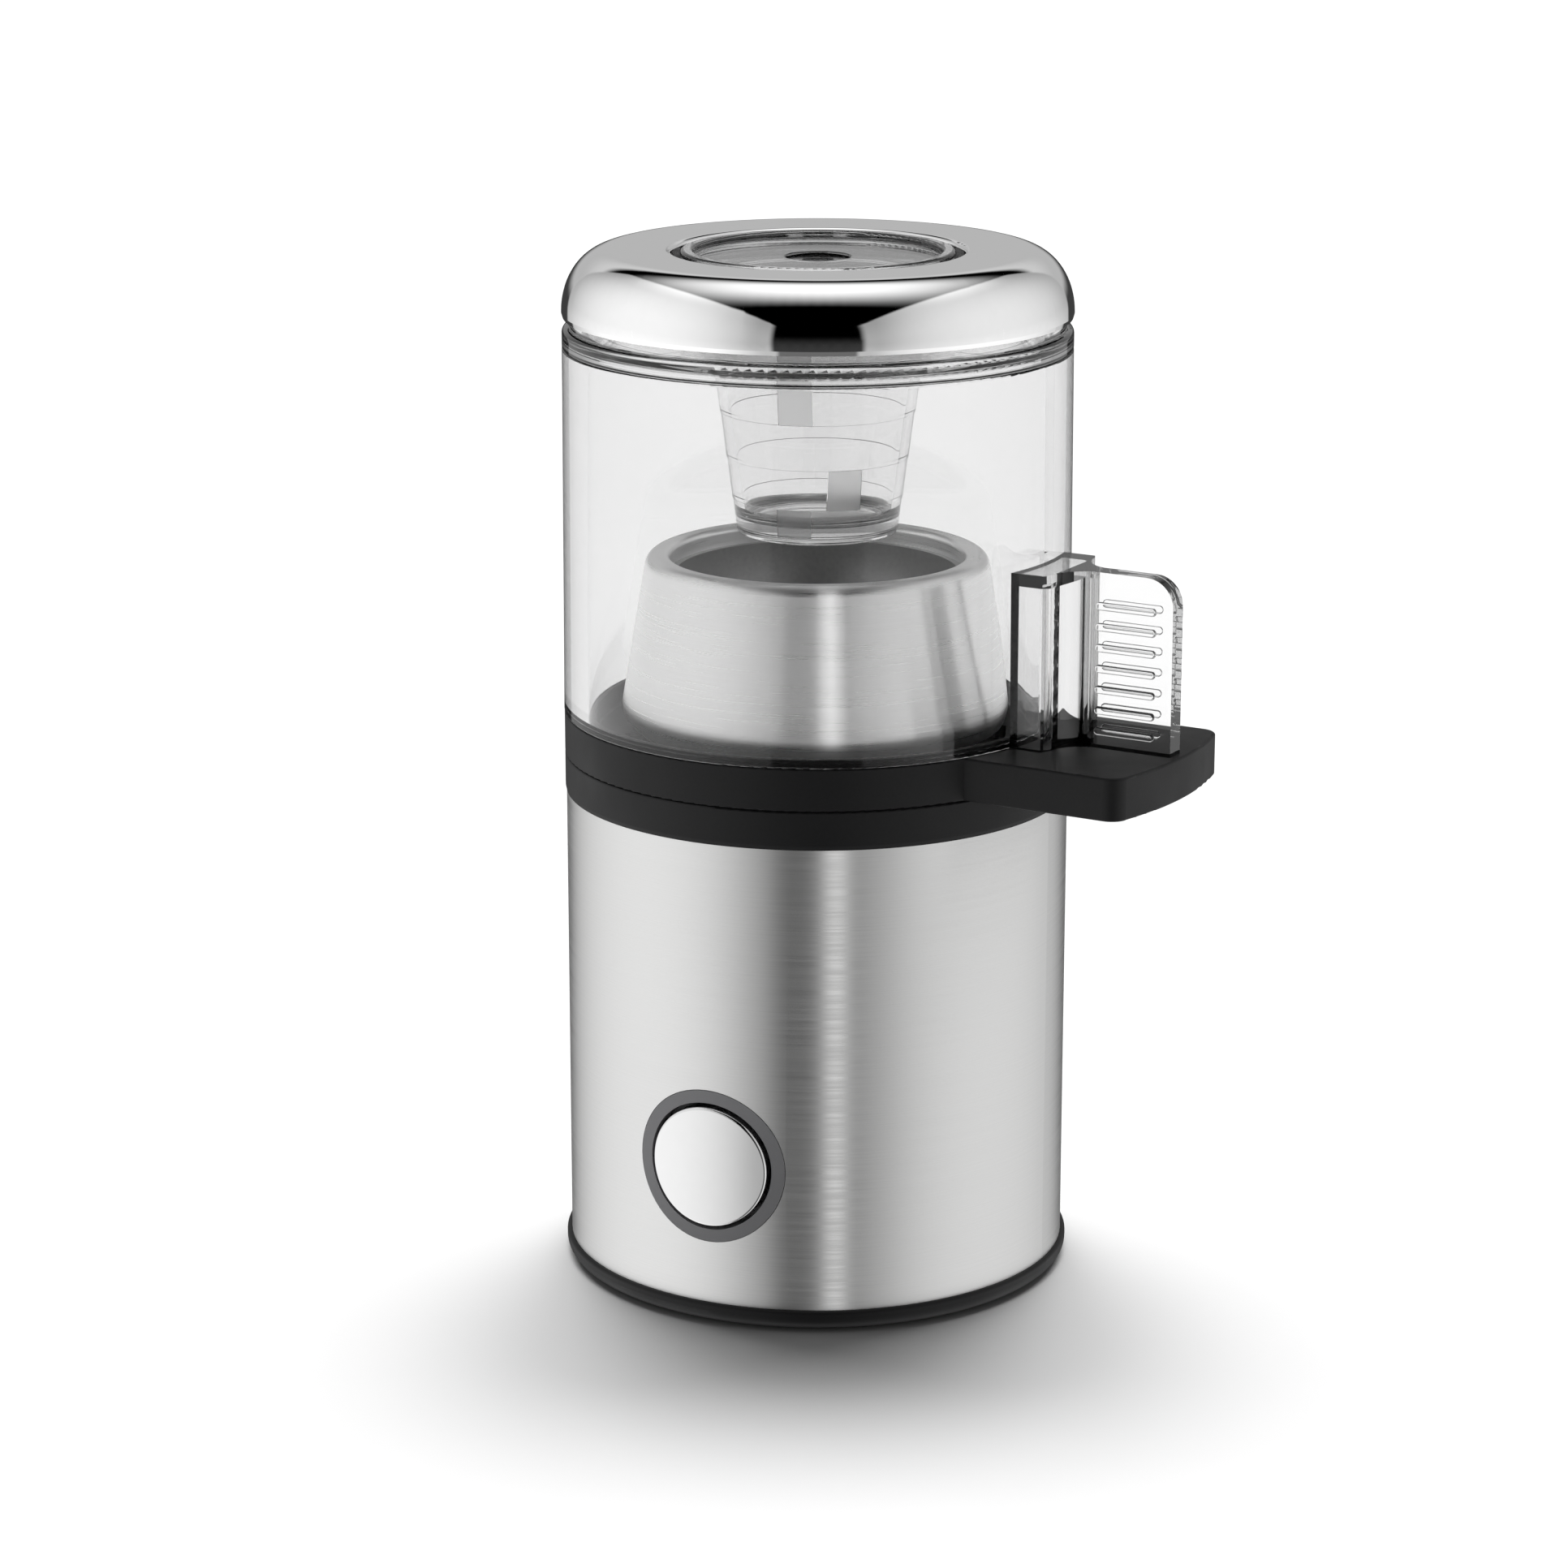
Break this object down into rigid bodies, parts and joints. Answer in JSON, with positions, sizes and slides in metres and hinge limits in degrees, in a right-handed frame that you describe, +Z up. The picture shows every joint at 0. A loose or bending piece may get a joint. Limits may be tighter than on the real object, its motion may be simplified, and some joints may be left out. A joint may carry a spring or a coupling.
{
  "type": "egg cooker",
  "caption": "Single-egg steam cooker: steel base with push button and heating dish, tray with tab, steel egg cup, clear hood with handle fin and chrome top, hanging measuring cup.",
  "frame": {"origin": "on the axis of the round base, in the plane that the cooker stands on", "axes": "+Z up along that axis, -Y out of the push button's face, +X towards the tray's tab and the hood's handle, which point 5 degrees from +X towards -Y"},
  "size_m": [0.1078, 0.0843, 0.1681],
  "materials": {
    "black_plastic": "satin black moulding",
    "pad_rubber": "matt",
    "brushed_steel": "brushed round the shell",
    "frame_plastic": "natural moulding",
    "light_ring_plastic": "translucent, satin",
    "button_metal": "turned face",
    "fastener_steel": "zinc plated",
    "spring_steel": "bright",
    "switch_plastic": "satin",
    "board_laminate": "solder mask",
    "relay_plastic": "satin",
    "capacitor_can": "sleeved",
    "terminal_plastic": "natural",
    "terminal_brass": "plain",
    "gland_rubber": "matt",
    "seal_silicone": "translucent white",
    "dish_coating": "dark release coating",
    "cast_aluminium": "cast",
    "element_steel": "heat-stained",
    "thermostat_ceramic": "ceramic",
    "fuse_sleeve": "glass-fibre sleeve",
    "shield_aluminium": "pressed sheet",
    "cup_steel": "brushed round the cone",
    "bowl_steel": "dark brushed",
    "clear_plastic": "clear polished",
    "cover_chrome": "mirror polished",
    "cup_clear_plastic": "clear polished",
    "frosted_mark": "frosted",
    "led_resin": "clear resin",
    "lead_sleeve": "silicone insulation"
  },
  "bodies": {
    "base": {"anti_slip_pad": "pad_rubber", "base_plate": "black_plastic", "base_screw_1": "fastener_steel", "base_screw_2": "fastener_steel", "base_screw_3": "fastener_steel", "board_carrier": "frame_plastic", "board_lead_1": "lead_sleeve", "board_lead_2": "lead_sleeve", "board_screw_1": "fastener_steel", "board_screw_2": "fastener_steel", "board_screw_3": "fastener_steel", "board_screw_4": "fastener_steel", "button_bezel": "light_ring_plastic", "button_spring": "spring_steel", "capacitor": "capacitor_can", "chassis": "frame_plastic", "circuit_board": "board_laminate", "clamp_screw_1": "fastener_steel", "clamp_screw_2": "fastener_steel", "cord_clamp": "frame_plastic", "cord_gland": "gland_rubber", "dish_nut_1": "fastener_steel", "dish_nut_2": "fastener_steel", "dish_nut_3": "fastener_steel", "dish_seal": "seal_silicone", "fuse_clip": "fastener_steel", "heat_shield": "shield_aluminium", "heater_element": "element_steel", "heater_lead_1": "lead_sleeve", "heater_lead_2": "lead_sleeve", "heater_plate": "cast_aluminium", "heating_dish": "dish_coating", "indicator_led_1": "led_resin", "indicator_led_2": "led_resin", "relay": "relay_plastic", "shell": "brushed_steel", "switch_body": "switch_plastic", "terminal_block": "terminal_plastic", "terminal_screw_1": "terminal_brass", "terminal_screw_2": "terminal_brass", "thermal_fuse": "fuse_sleeve", "thermostat": "thermostat_ceramic", "top_collar": "black_plastic"},
    "button": {"button_cap": "button_metal", "button_clip": "fastener_steel", "switch_plunger": "switch_plastic"},
    "tray": {"tray": "black_plastic"},
    "egg_cup": {"egg_cup_shell": "cup_steel", "egg_cup_bowl": "bowl_steel"},
    "hood": {"hood_wall": "clear_plastic", "hood_cap": "clear_plastic", "cover_ring": "cover_chrome", "cover_clip": "black_plastic"},
    "measuring_cup": {"measuring_cup": "cup_clear_plastic", "level_mark_low": "frosted_mark", "level_mark_middle": "frosted_mark", "level_mark_high": "frosted_mark"}
  },
  "joints": [
    {"name": "button_press", "type": "slide", "parent": "base", "child": "button", "axis": [0, 1, 0], "range_m": [0, 0.0018], "stiffness_N_per_m": 600, "springref_m": -0.0015, "deforming": ["button_spring"]},
    {"name": "tray_lift", "type": "slide", "parent": "base", "child": "tray", "axis": [0, 0, 1], "range_m": [0, 0.03]},
    {"name": "hood_lift", "type": "slide", "parent": "tray", "child": "hood", "axis": [0, 0, 1], "range_m": [0, 0.1]},
    {"name": "egg_cup_lift", "type": "slide", "parent": "tray", "child": "egg_cup", "axis": [0, 0, 1], "range_m": [0, 0.015]},
    {"name": "measuring_cup_drop", "type": "slide", "parent": "hood", "child": "measuring_cup", "axis": [0, 0, -1], "range_m": [0, 0.075]}
  ],
  "couplings": [
    {"joint": "egg_cup_lift", "follows": "hood_lift", "ratio": 0.15},
    {"joint": "measuring_cup_drop", "follows": "hood_lift", "ratio": 0.75}
  ]
}
